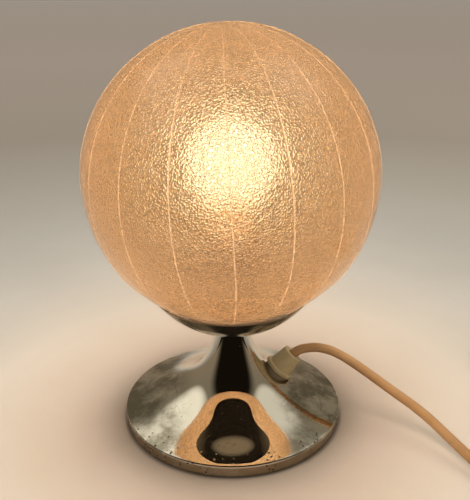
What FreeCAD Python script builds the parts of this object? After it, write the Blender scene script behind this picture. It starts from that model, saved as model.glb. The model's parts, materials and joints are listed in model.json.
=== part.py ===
import FreeCAD, Part
import math
import os

# Table lamp with a glass ball globe on a trumpet foot, in millimetres.
# The origin is at the bottom centre, +Z is up, and the lead leaves towards +X.

V = FreeCAD.Vector
UP = V(0, 0, 1)

# Driving dimensions: globe
GLOBE_R = 100.0
GLASS = 3.0
GLOBE_Z = 184.4
NECK_R = 39.0
NECK_END_Z = 88.5

# Driving dimensions: trumpet foot
FOOT_R = 81.3
SKIRT_END = 0.8
TRUMPET_POLES = [(81.3, 9.1), (54.9, 17.8), (51.1, 15.9), (32.8, 36.6), (24.6, 22.4), (11.2, 71.9)]
RIM_CORNER = 1.2
FOOT_WALL = 1.2
FELT = 1.5
COVER = 1.0
COVER_SCREW_RING = 17.0

# Driving dimensions: dish under the globe
DISH_R = 69.5
DISH_Z = 140.4
DISH_RIM_R = 56.8
DISH_SEAT_R = 11.6
DISH_WALL = 1.0

# Driving dimensions: stem tube and its nuts
STEM_R = 5.0
STEM_BORE = 3.4
STEM_BOTTOM = 3.2
STEM_TOP = 94.0
NUT_FLATS = 17.0
NUT_HEIGHT = 3.0
FIT = 0.05

# Driving dimensions: carrier plate, lampholder and bulb
PLATE_Z = 86.0
PLATE_R = 41.3
HOLDER_R = 20.0
HOLDER_JOIN = 104.0
HOLDER_TOP = 143.0
BULB_FOOT = 118.5
BULB_LENGTH = 105.0
BULB_R = 30.0
BULB_NECK_R = 12.4
BALL_END = -0.62
PITCH = 25.4 / 7
CAP_CORE = 12.35
CAP_CREST = 13.05
SHELL_ROOT = 13.35
SHELL_CREST = 12.65
THREAD_Z = 124.8

# Driving dimensions: gland on the foot
GLAND_RING = 33.8
GLAND_TURN = math.radians(5.0)
GLAND_LEAN = math.radians(4.0)
GLAND_FLANGE = 11.7
GLAND_LENGTH = 19.3
POCKET = 4.0

# Driving dimensions: lead, its switch, coil and plug
LEAD_D = 7.0
LEAD_R = LEAD_D / 2
SWITCH_SIZE = (62.0, 27.0, 17.5)
SWITCH_SPLIT = 6.5
SWITCH_TURN = 30.0
SWITCH_END_WALL = 8.0
SWITCH_THROW = 14.0
SWITCH_POST = (20.3, 8.2)
COIL_X = 278.0
COIL_Y = -16.0
COIL_OUTER = 46.0
COIL_PITCH = 7.6
COIL_TURNS = 6
COIL_LOW = 4.5
COIL_LAYER = 7.7
PLUG_X = 276.4
PLUG_Y = 53.6
PLUG_Z = 7.0
PLUG_TURN = 15.0
PIN_R = 2.0
PIN_GAP = 18.6

# Routes of the lead where it lies free, each a list of points chosen by hand
LAMP_SIDE = [
    (43.67, 3.82, 41.90), (47.27, 4.13, 46.04), (54.0, 3.8, 49.4), (65.7, 2.5, 51.1),
    (78.8, -0.8, 48.1), (96.0, -8.4, 39.2), (115.3, -20.8, 28.7), (136.0, -38.4, 20.3),
    (151.6, -61.5, 12.2), (164.5, -84.1, 7.2), (178.0, -101.4, 4.6), (195.8, -114.3, 3.8),
    (215.4, -119.6, 4.4), (236.25, -116.85, 6.5), (254.0, -106.6, 6.5)]
COIL_SIDE = [
    (293.837, -83.6, 6.5), (307.7, -75.6, 6.5), (318.4, -62.2, 5.4), (324.0, -44.5, 4.5),
    (324.0, -23.0, 4.5)]
PLUG_SIDE = [
    (324.0, -9.0, 12.2), (324.0, 6.0, 12.2), (322.2, 20.9, 11.4), (314.7, 35.0, 10.0),
    (303.2, 44.7, 8.4), (289.923, 49.977, 7.0), (276.4, 53.6, 7.0)]


def export(shape, node):
    """Write one sub-part to its own file."""
    if not shape.isValid():
        print("not valid:", node)
    if min(solid.Volume for solid in shape.Solids) <= 0:
        print("inside out:", node)
    shape.exportStep("parts/" + node + ".step")
    print("%-22s solids %2d volume %10.1f mm3" % (node, len(shape.Solids), shape.Volume))


def group(shapes):
    return Part.makeCompound([solid for shape in shapes for solid in shape.Solids])


def line(a, b):
    return Part.LineSegment(V(*a), V(*b)).toShape()


def arc(a, b, c):
    return Part.Arc(V(*a), V(*b), V(*c)).toShape()


def spin(edges):
    """Turn a closed outline in the XZ plane about the Z axis."""
    face = Part.Face(Part.Wire(edges))
    return face.revolve(V(0, 0, 0), UP, 360)


def spin_points(points):
    """Turn an outline of straight lines, given as (radius, height) points."""
    corners = [(r, 0, z) for r, z in points]
    return spin([line(a, b) for a, b in zip(corners, corners[1:] + corners[:1])])


def ring(inner, outer, bottom, top):
    return spin_points([(inner, bottom), (outer, bottom), (outer, top), (inner, top)])


def rod(radius, start, end):
    start = V(*start)
    run = V(*end) - start
    return Part.makeCylinder(radius, run.Length, start, run)


def hex_nut(flats, bore, bottom, height):
    corner = flats / math.sqrt(3)
    turns = [k * math.pi / 3 for k in range(7)]
    points = [V(corner * math.cos(turn), corner * math.sin(turn), bottom) for turn in turns]
    nut = Part.Face(Part.makePolygon(points)).extrude(V(0, 0, height))
    dome = Part.makeCone(corner + height - 0.6, corner - 0.6, height, V(0, 0, bottom))
    return nut.common(dome).cut(Part.makeCylinder(bore, height + 2, V(0, 0, bottom - 1)))


def box(center, size):
    corner = V(center[0] - size[0] / 2, center[1] - size[1] / 2, center[2] - size[2] / 2)
    return Part.makeBox(size[0], size[1], size[2], corner)


def soft_box(center, size, radius, edge=0.0):
    """A block with rounded upright corners and softened top and bottom edges."""
    block = box(center, size)
    upright = [e for e in block.Edges if abs(e.tangentAt(e.FirstParameter).z) > 0.9]
    block = block.makeFillet(radius, upright)
    if edge > 0:
        flat = [e for e in block.Edges if e.BoundBox.ZLength < 1e-6]
        block = block.makeFillet(edge, flat)
    return block


# Lines in space that tubes follow

def route_wire(points, name):
    """Straight runs joined by arcs as large as the two runs beside each point allow."""
    p = [V(*q) for q in points]
    edges = []
    start = p[0]
    radii = []
    for k in range(1, len(p) - 1):
        back = p[k - 1] - p[k]
        ahead = p[k + 1] - p[k]
        cut = 0.45 * min(back.Length, ahead.Length)
        half = (math.pi - back.getAngle(ahead)) / 2
        radii.append(cut / math.tan(half))
        back.normalize()
        ahead.normalize()
        first = p[k] + back * cut
        last = p[k] + ahead * cut
        inward = (back + ahead).normalize()
        middle = p[k] + inward * (radii[-1] / math.cos(half) - radii[-1])
        edges.append(Part.LineSegment(start, first).toShape())
        edges.append(Part.Arc(first, middle, last).toShape())
        start = last
    edges.append(Part.LineSegment(start, p[-1]).toShape())
    print(name, "arc radii", [round(r, 1) for r in radii])
    return Part.Wire(edges)


def tube(wire, radius, name):
    """A round tube along a wire, with its volume compared with section times length."""
    first = wire.OrderedEdges[0]
    start = first.valueAt(first.FirstParameter)
    heading = first.tangentAt(first.FirstParameter)
    if wire.OrderedVertexes[0].Point.distanceToPoint(start) > 1e-6:
        start = first.valueAt(first.LastParameter)
        heading = first.tangentAt(first.LastParameter) * -1
    section = Part.Wire(Part.makeCircle(radius, start, heading))
    solid = wire.makePipeShell([section], True, False)
    if solid.Volume < 0:
        solid.reverse()
    ratio = solid.Volume / (math.pi * radius * radius * wire.Length)
    print("%s length %.1f mm, volume over section times length %.4f" % (name, wire.Length, ratio))
    return solid


def biarc(p0, t0, p1, t1):
    """Two arcs that leave p0 along t0 and reach p1 along t1."""
    v = p1 - p0
    t = t0 + t1
    a = 2 * (1 - t0.dot(t1))
    if a < 1e-9:
        d = v.dot(v) / (4 * v.dot(t1))
    else:
        d = (-v.dot(t) + math.sqrt(v.dot(t) ** 2 + a * v.dot(v))) / a
    middle = (p0 + t0 * d + p1 - t1 * d) * 0.5
    return [Part.Arc(p0, arc_middle(p0, t0, middle), middle).toShape(),
            Part.Arc(middle, arc_middle(p1, t1 * -1, middle), p1).toShape()]


def arc_middle(start, heading, end):
    """The middle of the arc that leaves start along heading and ends at end."""
    chord = end - start
    angle = heading.getAngle(chord)
    side = heading - chord * (heading.dot(chord) / chord.dot(chord))
    if side.Length < 1e-9:
        return start + chord * 0.5
    return start + chord * 0.5 + side.normalize() * (chord.Length / 2 * math.tan(angle / 2))


def curve_wire(place, first, last, steps, end_heading=None, end_run=0.0):
    """Quarter or shorter turns of a curve place(angle), as biarcs, with straight ends if wanted."""
    step = (last - first) / steps
    tiny = 1e-5
    points = [place(first + k * step) for k in range(steps + 1)]
    headings = [(place(first + k * step + tiny) - place(first + k * step - tiny)).normalize()
                for k in range(steps + 1)]
    edges = []
    if end_heading:
        headings[0] = end_heading
        headings[-1] = end_heading
        edges.append(Part.LineSegment(points[0] - end_heading * end_run, points[0]).toShape())
    for k in range(steps):
        edges += biarc(points[k], headings[k], points[k + 1], headings[k + 1])
    if end_heading:
        edges.append(Part.LineSegment(points[-1], points[-1] + end_heading * end_run).toShape())
    return Part.Wire(edges)


# Trumpet foot

def trumpet_point(share, inward=0.0):
    """A point of the trumpet's outline, a smooth curve led by its poles: share 0 is the rim, 1 the waist."""
    points = TRUMPET_POLES
    while len(points) > 2:
        points = [
            (a[0] + (b[0] - a[0]) * share, a[1] + (b[1] - a[1]) * share) for a, b in zip(points, points[1:])]
    (low_r, low_z), (high_r, high_z) = points
    size = math.hypot(high_r - low_r, high_z - low_z)
    r = low_r + (high_r - low_r) * share - inward * (high_z - low_z) / size
    z = low_z + (high_z - low_z) * share + inward * (high_r - low_r) / size
    return (r, z)


def trumpet_curve(low, top, inward):
    """The outline as one smooth edge from the share low to the height top."""
    high = share_where(lambda share: trumpet_point(share, inward)[1] > top)
    count = 16
    points = [trumpet_point(low + (high - low) * k / count, inward) for k in range(count + 1)]
    curve = Part.BSplineCurve()
    curve.interpolate([V(r, 0, z) for r, z in points])
    return curve.toShape(), points[0], points[-1]


def share_where(test):
    """The first share of the outline at which the test holds, found by halving."""
    low, high = 0.0, 1.0
    for _ in range(50):
        middle = (low + high) / 2
        if test(middle):
            high = middle
        else:
            low = middle
    return high


FOOT_TOP = DISH_Z - math.sqrt(DISH_R ** 2 - DISH_SEAT_R ** 2)


def foot_outer_solid():
    """Everything inside the foot's outer skin."""
    start = share_where(lambda share: trumpet_point(share, RIM_CORNER)[0] < FOOT_R - RIM_CORNER)
    middle_r, middle_z = trumpet_point(start, RIM_CORNER)
    curve, low, high = trumpet_curve(start, FOOT_TOP, 0.0)
    half_turn = math.atan2(low[1] - middle_z, low[0] - middle_r) / 2
    corner = (middle_r + RIM_CORNER * math.cos(half_turn), 0, middle_z + RIM_CORNER * math.sin(half_turn))
    return spin([
        line((0, 0, SKIRT_END), (FOOT_R, 0, SKIRT_END)),
        line((FOOT_R, 0, SKIRT_END), (FOOT_R, 0, middle_z)),
        arc((FOOT_R, 0, middle_z), corner, (low[0], 0, low[1])),
        curve,
        line((high[0], 0, high[1]), (0, 0, high[1])),
        line((0, 0, high[1]), (0, 0, SKIRT_END))])


def foot_inner_solid():
    """The hollow inside the foot."""
    inner_r = FOOT_R - FOOT_WALL
    start = share_where(lambda share: trumpet_point(share, FOOT_WALL)[0] < inner_r - 1.0)
    curve, low, high = trumpet_curve(start, FOOT_TOP - FOOT_WALL, FOOT_WALL)
    return spin([
        line((0, 0, SKIRT_END - 1), (inner_r, 0, SKIRT_END - 1)),
        line((inner_r, 0, SKIRT_END - 1), (inner_r, 0, low[1] - 0.6)),
        line((inner_r, 0, low[1] - 0.6), (low[0], 0, low[1])),
        curve,
        line((high[0], 0, high[1]), (0, 0, high[1])),
        line((0, 0, high[1]), (0, 0, SKIRT_END - 1))])


# Gland position: its seat on the trumpet, and its axis, which leans out a little from square to the skin

GLAND_SHARE = share_where(lambda share: trumpet_point(share)[0] < GLAND_RING)
GLAND_SEAT_Z = trumpet_point(GLAND_SHARE)[1]
INWARD_POINT = trumpet_point(GLAND_SHARE, 1.0)
GLAND_RISE = math.atan2(GLAND_SEAT_Z - INWARD_POINT[1], GLAND_RING - INWARD_POINT[0]) - GLAND_LEAN
GLAND_AXIS = V(math.cos(GLAND_RISE) * math.cos(GLAND_TURN), math.cos(GLAND_RISE) * math.sin(GLAND_TURN),
               math.sin(GLAND_RISE))
GLAND_SEAT = V(GLAND_RING * math.cos(GLAND_TURN), GLAND_RING * math.sin(GLAND_TURN), GLAND_SEAT_Z)


def on_gland(shape):
    """Carry a shape built about the Z axis to the gland's seat."""
    turned = shape.copy()
    turned.Placement = FreeCAD.Placement(GLAND_SEAT, FreeCAD.Rotation(UP, GLAND_AXIS))
    return turned


def make_foot():
    outer = foot_outer_solid()
    inner = foot_inner_solid()
    shell = outer.cut(inner)
    shell = shell.cut(Part.makeCylinder(STEM_R + FIT, 20, V(0, 0, FOOT_TOP - 10)))
    shell = shell.cut(on_gland(Part.makeCylinder(6.3, 20, V(0, 0, -10))))
    export(shell, "foot_shell")

    weight_bottom = FELT + COVER
    weight = spin_points([
        (STEM_R + 0.3, 7.2), (12.5, 7.2), (12.5, weight_bottom), (71.0, weight_bottom), (71.0, 7.9),
        (47.0, 7.9), (40.0, 12.0), (STEM_R + 0.3, 12.0)])
    for k in range(3):
        turn = math.radians(90 + 120 * k)
        x, y = COVER_SCREW_RING * math.cos(turn), COVER_SCREW_RING * math.sin(turn)
        weight = weight.cut(Part.makeCylinder(1.6, 5.0, V(x, y, weight_bottom - 0.1)))
    export(weight, "foot_weight")

    cover = ring(0.0, 79.8, FELT, FELT + COVER)
    screws = []
    for k in range(3):
        turn = math.radians(90 + 120 * k)
        x, y = COVER_SCREW_RING * math.cos(turn), COVER_SCREW_RING * math.sin(turn)
        cover = cover.cut(Part.makeCylinder(1.8, 4, V(x, y, FELT - 1)))
        head = Part.makeCone(2.6, 3.1, 0.4, V(x, y, 0.4))
        head = head.fuse(Part.makeCylinder(3.1, FELT - 0.8, V(x, y, 0.8)))
        slot = box((x, y, 0.4), (7, 0.7, 0.7))
        shank = Part.makeCylinder(1.5, 5.4, V(x, y, FELT))
        screws.append(head.fuse(shank).cut(slot))
    export(cover, "foot_cover")
    export(group(screws), "cover_screws")
    export(ring(23.0, 77.0, 0.0, FELT), "felt_ring")


# Stem: the threaded tube that clamps weight, foot and dish together

def make_stem():
    tube_solid = ring(STEM_BORE, STEM_R, STEM_BOTTOM, STEM_TOP)
    slot = box((STEM_R, 0, 21.0), (8.0, 6.0, 11.0))
    thread_relief = ring(STEM_R - 0.3, STEM_R + 1, 28.0, FOOT_TOP - 4)
    export(tube_solid.cut(slot).cut(thread_relief), "stem_tube")
    export(ring(STEM_R + FIT, 11.5, 6.2, 7.2), "base_washer")
    export(hex_nut(NUT_FLATS, STEM_R + FIT, 6.2 - NUT_HEIGHT, NUT_HEIGHT), "base_nut")
    export(hex_nut(NUT_FLATS, STEM_R + FIT, 12.0, NUT_HEIGHT), "weight_nut")
    seat = FOOT_TOP + DISH_WALL
    export(ring(STEM_R + FIT, 11.3, seat, seat + 1.5), "dish_washer")
    export(hex_nut(NUT_FLATS, STEM_R + FIT, seat + 1.5, NUT_HEIGHT), "dish_nut")
    export(hex_nut(NUT_FLATS, STEM_R + FIT, PLATE_Z - NUT_HEIGHT, NUT_HEIGHT), "plate_nut")


def make_dish():
    """A bowl cut from a sphere, with a flat seat on the trumpet and a rounded rim."""
    inner_r = DISH_R - DISH_WALL
    rim_turn = math.asin(DISH_RIM_R / DISH_R)
    half_wall = DISH_WALL / 2

    def at(radius, turn):
        return (radius * math.sin(turn), 0, DISH_Z - radius * math.cos(turn))
    seat_turn = math.asin(DISH_SEAT_R / DISH_R)
    inner_seat = math.acos((DISH_Z - FOOT_TOP - DISH_WALL) / inner_r)
    rim_mid = at(DISH_R - half_wall, rim_turn + half_wall / DISH_R)
    outer_seat = at(DISH_R, seat_turn)
    floor = at(inner_r, inner_seat)
    hole = STEM_R + FIT
    bowl = spin([
        line((hole, 0, outer_seat[2]), outer_seat),
        arc(outer_seat, at(DISH_R, (seat_turn + rim_turn) / 2), at(DISH_R, rim_turn)),
        arc(at(DISH_R, rim_turn), rim_mid, at(inner_r, rim_turn)),
        arc(at(inner_r, rim_turn), at(inner_r, (inner_seat + rim_turn) / 2), floor),
        line(floor, (hole, 0, floor[2])),
        line((hole, 0, floor[2]), (hole, 0, outer_seat[2]))])
    export(bowl, "dish")


# Carrier plate with the felt seat and the three springs that centre the globe's neck

def make_carrier():
    plate = ring(STEM_R + FIT, PLATE_R, PLATE_Z, PLATE_Z + 1.0)
    rivets = []
    for k in range(3):
        turn = 60 + 120 * k
        x, y = 27.5 * math.cos(math.radians(turn)), 27.5 * math.sin(math.radians(turn))
        plate = plate.cut(Part.makeCylinder(1.6, 3, V(x, y, PLATE_Z - 1)))
        foot_top = PLATE_Z + 1.5
        shank = Part.makeCylinder(1.55, 1.5, V(x, y, PLATE_Z))
        head = Part.makeCone(2.9, 1.8, 0.9, V(x, y, foot_top))
        tail = Part.makeCone(1.8, 2.6, 0.7, V(x, y, PLATE_Z - 0.7))
        rivets.append(shank.fuse([head, tail]))
        export(make_spring(turn), "globe_spring_%d" % (k + 1))
    export(plate, "carrier_plate")
    export(group(rivets), "spring_rivets")
    export(ring(35.2, 41.0, PLATE_Z + 1.0, NECK_END_Z), "globe_seat")


def make_spring(turn):
    """A bowed leaf of spring steel standing just inside the globe's neck."""
    low = PLATE_Z + 1.0
    leaf = 0.5
    width = 9.0
    outline = [
        line((22.5, 0, low), (32.6, 0, low)),
        arc((32.6, 0, low), (33.45, 0, low + 0.35), (33.8, 0, low + 1.2)),
        arc((33.8, 0, low + 1.2), (35.2, 0, low + 6.0), (31.4, 0, low + 17.0)),
        line((31.4, 0, low + 17.0), (30.9, 0, low + 16.8)),
        arc((30.9, 0, low + 16.8), (34.7, 0, low + 6.0), (33.3, 0, low + 1.3)),
        arc((33.3, 0, low + 1.3), (33.1, 0, low + 0.7), (32.5, 0, low + leaf)),
        line((32.5, 0, low + leaf), (22.5, 0, low + leaf)),
        line((22.5, 0, low + leaf), (22.5, 0, low))]
    spring = Part.Face(Part.Wire(outline)).extrude(V(0, width, 0))
    spring.translate(V(0, -width / 2, 0))
    spring = spring.cut(Part.makeCylinder(1.6, 3, V(27.5, 0, low - 1)))
    spring.rotate(V(0, 0, 0), UP, turn)
    return spring


def make_globe():
    inner_r = GLOBE_R - GLASS
    neck_in = NECK_R - GLASS
    outer_join = GLOBE_Z - math.sqrt(GLOBE_R ** 2 - NECK_R ** 2)
    inner_join = GLOBE_Z - math.sqrt(inner_r ** 2 - neck_in ** 2)
    globe = spin([
        line((neck_in, 0, NECK_END_Z), (NECK_R, 0, NECK_END_Z)),
        line((NECK_R, 0, NECK_END_Z), (NECK_R, 0, outer_join)),
        arc((NECK_R, 0, outer_join), (GLOBE_R, 0, GLOBE_Z), (0, 0, GLOBE_Z + GLOBE_R)),
        line((0, 0, GLOBE_Z + GLOBE_R), (0, 0, GLOBE_Z + inner_r)),
        arc((0, 0, GLOBE_Z + inner_r), (inner_r, 0, GLOBE_Z), (neck_in, 0, inner_join)),
        line((neck_in, 0, inner_join), (neck_in, 0, NECK_END_Z))])
    export(globe, "globe")


# Screw thread shared by the bulb's cap and the holder's shell

def thread_rib(radius, wire_r, low, turns):
    """A round rib that climbs one pitch a turn, in eighth turns."""
    def place(angle):
        return V(radius * math.cos(angle), radius * math.sin(angle), low + PITCH * angle / (2 * math.pi))
    wire = curve_wire(place, 0.0, turns * 2 * math.pi, int(turns * 8))
    first = wire.OrderedEdges[0]
    section = Part.Wire(Part.makeCircle(wire_r, first.valueAt(first.FirstParameter),
                                        first.tangentAt(first.FirstParameter)))
    rib = wire.makePipeShell([section], True, False)
    if rib.Volume < 0:
        rib.reverse()
    return rib


def make_holder():
    base = PLATE_Z + 1.0
    cap = spin_points([
        (STEM_R + FIT, base), (12.0, base), (18.5, 97.5), (HOLDER_R, 100.0), (HOLDER_R, HOLDER_JOIN),
        (HOLDER_R - 2.4, HOLDER_JOIN), (HOLDER_R - 2.4, 100.6), (16.6, 99.2), (9.6, 95.0),
        (STEM_R + FIT, 95.0)])
    export(cap, "holder_cap")

    skirt = spin_points([
        (HOLDER_R - 2.2, HOLDER_JOIN), (HOLDER_R, HOLDER_JOIN), (HOLDER_R, HOLDER_TOP - 8.0),
        (18.6, HOLDER_TOP - 7.0), (18.6, HOLDER_TOP - 0.8), (17.8, HOLDER_TOP), (16.0, HOLDER_TOP),
        (16.0, HOLDER_TOP - 6.0), (HOLDER_R - 2.2, HOLDER_TOP - 9.0)])
    grips = []
    for k in range(24):
        turn = math.radians(15 * k)
        center = (HOLDER_R + 0.35) * math.cos(turn), (HOLDER_R + 0.35) * math.sin(turn)
        grips.append(Part.makeCylinder(0.9, 24.0, V(center[0], center[1], HOLDER_JOIN + 3.0)))
    export(skirt.cut(grips), "holder_skirt")

    block = spin_points([
        (0.0, 105.0), (17.2, 105.0), (17.2, 113.0), (15.4, 113.0), (15.4, 127.0), (14.0, 127.0),
        (14.0, 114.0), (0.0, 114.0)])
    for x in (-9.0, 9.0):
        block = block.cut(Part.makeCylinder(1.8, 20.0, V(x, 0, 100.0)))
    export(block, "holder_block")

    shell = ring(SHELL_ROOT, 14.0, 114.0, 137.0).fuse(ring(7.5, SHELL_ROOT + 0.1, 114.0, 114.5))
    rib = thread_rib(SHELL_ROOT + 0.1, SHELL_ROOT + 0.1 - SHELL_CREST, THREAD_Z, 3.0)
    shell = shell.fuse(rib.common(Part.makeCylinder(13.7, 30.0, V(0, 0, 112.0))))
    export(shell.removeSplitter(), "screw_shell")

    contact = Part.makeCylinder(4.0, 0.6, V(0, 0, 114.0))
    contact = contact.fuse(ring(0.0, 2.2, 114.6, BULB_FOOT))
    export(contact, "centre_contact")

    screws = []
    for x in (-9.0, 9.0):
        head = Part.makeCylinder(3.0, 2.0, V(x, 0, 103.0)).cut(box((x, 0, 103.0), (7, 0.8, 1.6)))
        screws.append(head.fuse(Part.makeCylinder(1.75, 8.0, V(x, 0, 105.0))))
    export(group(screws), "terminal_screws")


def make_bulb():
    foot = BULB_FOOT
    export(spin_points([(0, foot), (3.6, foot), (4.6, foot + 0.8), (4.6, foot + 1.4), (0, foot + 1.4)]),
           "bulb_contact")
    export(spin_points([(0, foot + 1.4), (4.9, foot + 1.4), (10.0, foot + 4.4), (10.0, foot + 5.4),
                        (0, foot + 5.4)]), "bulb_insulator")

    cap_top = foot + 27.0
    wall = 0.5
    cap = spin_points([
        (10.0 + FIT, foot + 4.4), (CAP_CORE, foot + 6.0), (CAP_CORE, cap_top - 5.5), (13.2, cap_top - 4.5),
        (13.2, cap_top), (13.2 - wall, cap_top), (13.2 - wall, cap_top - 4.3),
        (CAP_CORE - wall, cap_top - 5.3), (CAP_CORE - wall, foot + 6.2), (10.0 + FIT, foot + 5.4)])
    rib = thread_rib(CAP_CORE - 0.1, CAP_CREST - CAP_CORE + 0.1, THREAD_Z + PITCH / 2, 3.5)
    rib = rib.cut(Part.makeCylinder(CAP_CORE - wall + 0.15, 40.0, V(0, 0, 115.0)))
    export(cap.fuse(rib).removeSplitter(), "bulb_cap")

    # Glass: a ball on a tapering neck, hollow, cemented into the cap
    middle = foot + BULB_LENGTH - BULB_R

    def outline(inset):
        r = BULB_R - inset
        top = (0, 0, middle + r)
        side = (r * math.cos(0.5), 0, middle + r * math.sin(0.5))
        shoulder = (r * math.cos(BALL_END), 0, middle + r * math.sin(BALL_END))
        neck = (BULB_NECK_R - inset, 0, cap_top - 2.2)
        bend = ((shoulder[0] + neck[0]) / 2 - 2.6, 0, (shoulder[2] + neck[2]) / 2)
        return neck, bend, shoulder, side, top
    neck, bend, shoulder, side, top = outline(0.0)
    neck_in, bend_in, shoulder_in, side_in, top_in = outline(0.8)
    glass = spin([
        line(neck_in, neck), arc(neck, bend, shoulder), arc(shoulder, side, top), line(top, top_in),
        arc(top_in, side_in, shoulder_in), arc(shoulder_in, bend_in, neck_in)])
    export(glass, "bulb_glass")

    mount = spin_points([
        (0, cap_top - 4.0), (9.0, cap_top - 4.0), (8.0, cap_top), (4.0, cap_top + 6.0),
        (2.6, cap_top + 24.0), (1.6, cap_top + 32.0), (0, cap_top + 32.0)])
    export(mount, "bulb_mount")

    lead_top = cap_top + 44.0
    hold = []
    for x in (-1, 1):
        hold.append(tube(route_wire([(x * 3.2, 0, cap_top + 12.0), (x * 5.0, 0, cap_top + 24.0),
                                     (x * 12.0, 0, cap_top + 34.0), (x * 15.0, 0, lead_top)], "bulb lead"),
                         0.4, "bulb lead"))
    hold.append(tube(route_wire([(0, 0, cap_top + 32.0), (0, 0.6, cap_top + 37.0), (0, 0, lead_top - 2.4)],
                                "filament hook"), 0.3, "filament hook"))
    export(group(hold), "bulb_wires")

    # Filament: a fine coil that sags a little between the two leads
    turns = 40
    curl = 0.7

    def place(angle):
        part = angle / (turns * 2 * math.pi)
        sag = 1.8 * math.sin(math.pi * part)
        return V(30.0 * part - 15.0, curl * math.cos(angle), lead_top + 0.6 - sag + curl * math.sin(angle))
    wire = curve_wire(place, 0.0, turns * 2 * math.pi, turns * 4)
    first = wire.OrderedEdges[0]
    section = Part.Wire(Part.makeCircle(0.12, first.valueAt(first.FirstParameter),
                                        first.tangentAt(first.FirstParameter)))
    filament = wire.makePipeShell([section], True, False)
    if filament.Volume < 0:
        filament.reverse()
    export(filament, "filament")


# Gland and the leads inside the lamp

def make_gland():
    outside = foot_outer_solid()
    hollow = foot_inner_solid()
    flange_low = 2.2
    body = spin([
        line((6.2, 0, -9.0), (6.2, 0, flange_low)),
        line((6.2, 0, flange_low), (GLAND_FLANGE - 0.5, 0, flange_low)),
        line((GLAND_FLANGE - 0.5, 0, flange_low), (GLAND_FLANGE, 0, flange_low + 0.5)),
        line((GLAND_FLANGE, 0, flange_low + 0.5), (GLAND_FLANGE, 0, flange_low + 2.0)),
        arc((GLAND_FLANGE, 0, flange_low + 2.0), (GLAND_FLANGE - 0.4, 0, flange_low + 2.8),
            (GLAND_FLANGE - 1.3, 0, flange_low + 3.1)),
        line((GLAND_FLANGE - 1.3, 0, flange_low + 3.1), (9.8, 0, flange_low + 3.1)),
        line((9.8, 0, flange_low + 3.1), (8.0, 0, GLAND_LENGTH - 0.6)),
        arc((8.0, 0, GLAND_LENGTH - 0.6), (7.8, 0, GLAND_LENGTH - 0.15), (7.3, 0, GLAND_LENGTH)),
        line((7.3, 0, GLAND_LENGTH), (4.4, 0, GLAND_LENGTH)),
        arc((4.4, 0, GLAND_LENGTH), (3.76, 0, GLAND_LENGTH - 0.26), (LEAD_R, 0, GLAND_LENGTH - 0.9)),
        line((LEAD_R, 0, GLAND_LENGTH - 0.9), (LEAD_R, 0, -9.0)),
        line((LEAD_R, 0, -9.0), (6.2, 0, -9.0))])
    export(on_gland(body), "gland_body")

    washer = on_gland(ring(6.25, 10.2, -4.0, flange_low)).cut(outside)
    export(washer, "gland_washer")
    nut = on_gland(hex_nut(17.0, 6.25, -7.0, 6.0)).common(hollow)
    export(nut, "gland_nut")
    tail = on_gland(Part.makeCylinder(LEAD_R, GLAND_LENGTH - POCKET + 12.0, V(0, 0, -12.0)))
    export(tail, "lead_tail")


def make_inner_leads():
    """Two insulated cores from the gland, through the stem, to the lampholder's screws."""
    end = GLAND_SEAT - GLAND_AXIS * 12.0
    side = V(-math.sin(GLAND_TURN), math.cos(GLAND_TURN), 0)
    for name, s in (("live_core", 1), ("neutral_core", -1)):
        start = end + side * (1.7 * s)
        first = start - GLAND_AXIS * 3.0
        points = [
            tuple(start), tuple(first), (12.0, 2.0 * s + 0.8, 16.2), (5.5, 1.6 * s, 18.5),
            (1.2, 1.5 * s, 25.0),
            (0.0, 1.5 * s, 34.0), (0.2, 1.5 * s, 50.0), (0.0, 1.5 * s, 66.0), (0.0, 1.5 * s, 82.0),
            (0.5 * s, 1.5 * s, 92.5), (3.5 * s, 1.4 * s, 97.0), (8.0 * s, 1.0 * s, 98.8),
            (9.0 * s, 0.2 * s, 103.0)]
        export(tube(route_wire(points, name), 1.2, name), name)


# In-line switch, built along +X about its middle and then carried to its place

def at_switch(shape):
    start = V(*LAMP_SIDE[-1])
    moved = shape.copy()
    moved.translate(V(SWITCH_SIZE[0] / 2 - SWITCH_END_WALL, 0, 0))
    moved.rotate(V(0, 0, 0), UP, SWITCH_TURN)
    moved.translate(V(start.x, start.y, 0))
    return moved


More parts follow.
